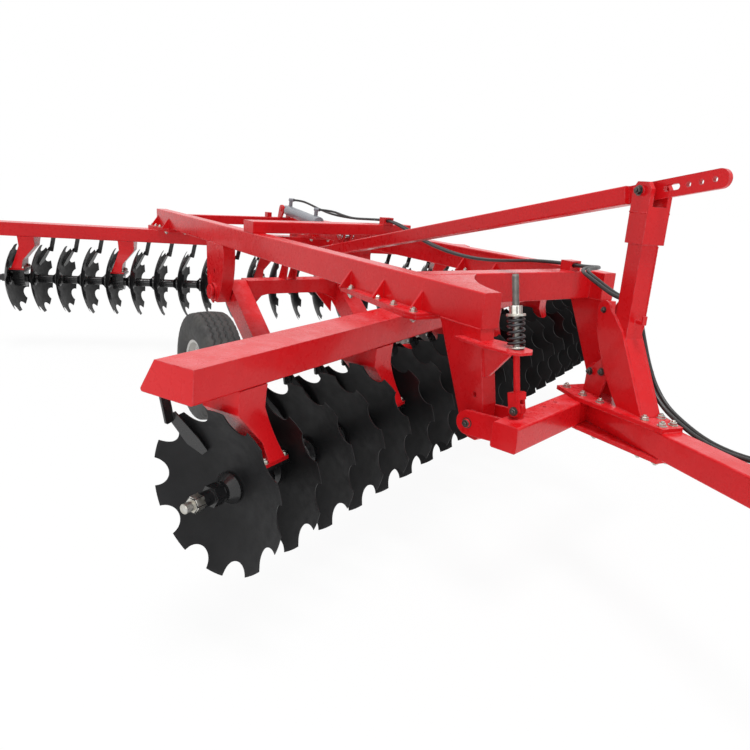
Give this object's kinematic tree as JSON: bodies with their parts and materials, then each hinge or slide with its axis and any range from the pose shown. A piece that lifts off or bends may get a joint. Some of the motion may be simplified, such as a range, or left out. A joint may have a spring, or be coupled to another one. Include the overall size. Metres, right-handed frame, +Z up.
{
  "type": "disc harrow",
  "caption": "Towed offset disc harrow: two slanted notched-disc gangs under a rail frame, with a hinged wheel frame, lift cylinder, levelling bar, mast and drawbar.",
  "frame": {"origin": "middle of the parked machine's box, on the ground", "axes": "+X forward towards the drawbar, +Y to the machine's left, +Z up"},
  "size_m": [7.74, 4.5384, 1.9829],
  "materials": {
    "red_paint": "glossy red machine enamel",
    "black_paint": "satin black paint on steel",
    "disc_steel": "dark oiled disc steel",
    "grey_paint": "grey cylinder enamel",
    "chrome_rod": "ground chrome",
    "tyre_rubber": "worn black tyre rubber",
    "rim_paint": "pale grey wheel paint",
    "spring_steel": "dark spring steel",
    "coupler_steel": "zinc plated coupler steel",
    "hose_rubber": "black hydraulic hose rubber"
  },
  "bodies": {
    "frame": {"right_rail": "red_paint", "left_rail": "red_paint", "front_cross_beam": "red_paint", "middle_cross_beam": "red_paint", "rear_cross_beam": "red_paint", "right_leg": "red_paint", "left_leg": "red_paint", "right_wheel_bracket": "red_paint", "left_wheel_bracket": "red_paint", "front_gang_beam": "red_paint", "rear_gang_beam": "red_paint", "front_hangers": "red_paint", "rear_hangers": "red_paint", "front_bearings": "red_paint", "rear_bearings": "red_paint", "front_scrapers": "black_paint", "rear_scrapers": "black_paint", "left_hose_rear": "hose_rubber", "right_hose_rear": "hose_rubber"},
    "front_right_gang": {"front_right_discs": "disc_steel", "front_right_shaft": "black_paint"},
    "front_left_gang": {"front_left_discs": "disc_steel", "front_left_shaft": "black_paint"},
    "rear_right_gang": {"rear_right_discs": "disc_steel", "rear_right_shaft": "black_paint"},
    "rear_left_gang": {"rear_left_discs": "disc_steel", "rear_left_shaft": "black_paint"},
    "wheel_frame": {"rockshaft": "red_paint", "right_wheel_arm": "red_paint", "left_wheel_arm": "red_paint", "lift_lever": "red_paint"},
    "right_wheel": {"right_rim": "rim_paint", "right_tyre": "tyre_rubber"},
    "left_wheel": {"left_rim": "rim_paint", "left_tyre": "tyre_rubber"},
    "cylinder": {"cylinder_barrel": "grey_paint"},
    "ram": {"cylinder_rod": "chrome_rod"},
    "hitch": {"yoke_crossbar": "red_paint", "yoke_right_arm": "red_paint", "yoke_left_arm": "red_paint", "drawbar": "red_paint", "hitch_clevis": "red_paint", "mast": "red_paint", "jack": "red_paint", "hose_couplers": "coupler_steel", "left_hose_front": "hose_rubber", "right_hose_front": "hose_rubber"},
    "levelling_bar": {"levelling_bar": "red_paint"},
    "spring_rod": {"spring_rod": "red_paint", "spring": "spring_steel"}
  },
  "joints": [
    {"name": "wheel_frame_lift", "type": "hinge", "parent": "frame", "child": "wheel_frame", "pos_m": [-1.54393, -0.05258, 0.85], "axis": [0, -1, 0], "range_deg": [0, 38]},
    {"name": "right_wheel_spin", "type": "hinge", "parent": "wheel_frame", "child": "right_wheel", "pos_m": [-0.86393, -1.03258, 0.41], "axis": [0, 1, 0], "continuous": true},
    {"name": "left_wheel_spin", "type": "hinge", "parent": "wheel_frame", "child": "left_wheel", "pos_m": [-0.86393, 0.92742, 0.41], "axis": [0, 1, 0], "continuous": true},
    {"name": "cylinder_swing", "type": "hinge", "parent": "frame", "child": "cylinder", "pos_m": [-2.46393, 0.32742, 1.49], "axis": [0, -1, 0], "range_deg": [0, 2.94]},
    {"name": "ram_slide", "type": "slide", "parent": "cylinder", "child": "ram", "axis": [-0.995, 0, 0.0995], "range_m": [0, 0.3838]},
    {"name": "hitch_swing", "type": "hinge", "parent": "frame", "child": "hitch", "pos_m": [1.78607, -0.71258, 0.834], "axis": [0.284, -0.9588, 0], "range_deg": [0, 11.81]},
    {"name": "levelling_bar_pivot", "type": "hinge", "parent": "hitch", "child": "levelling_bar", "pos_m": [2.05688, -0.1075, 1.88], "axis": [0.2011, 0.9796, 0], "range_deg": [0, 10.31]},
    {"name": "spring_rod_pivot", "type": "hinge", "parent": "hitch", "child": "spring_rod", "pos_m": [1.99607, -0.68758, 0.94], "axis": [-0.284, 0.9588, 0], "range_deg": [0, 16.4]},
    {"name": "front_right_gang_spin", "type": "hinge", "parent": "frame", "child": "front_right_gang", "pos_m": [1.69367, -1.86092, 0.68], "axis": [-0.425, 0.9052, 0], "continuous": true},
    {"name": "front_left_gang_spin", "type": "hinge", "parent": "frame", "child": "front_left_gang", "pos_m": [0.7162, 0.22103, 0.68], "axis": [-0.425, 0.9052, 0], "continuous": true},
    {"name": "rear_left_gang_spin", "type": "hinge", "parent": "frame", "child": "rear_left_gang", "pos_m": [-1.90714, 1.93139, 0.68], "axis": [0.3883, 0.9215, 0], "continuous": true},
    {"name": "rear_right_gang_spin", "type": "hinge", "parent": "frame", "child": "rear_right_gang", "pos_m": [-2.80028, -0.18812, 0.68], "axis": [0.3883, 0.9215, 0], "continuous": true}
  ],
  "couplings": [
    {"joint": "cylinder_swing", "follows": "wheel_frame_lift", "ratio": 0.0773},
    {"joint": "ram_slide", "follows": "wheel_frame_lift", "m_per_rad": 0.578},
    {"joint": "hitch_swing", "follows": "wheel_frame_lift", "ratio": 0.31072},
    {"joint": "levelling_bar_pivot", "follows": "wheel_frame_lift", "ratio": 0.27119},
    {"joint": "spring_rod_pivot", "follows": "wheel_frame_lift", "ratio": 0.43148}
  ]
}
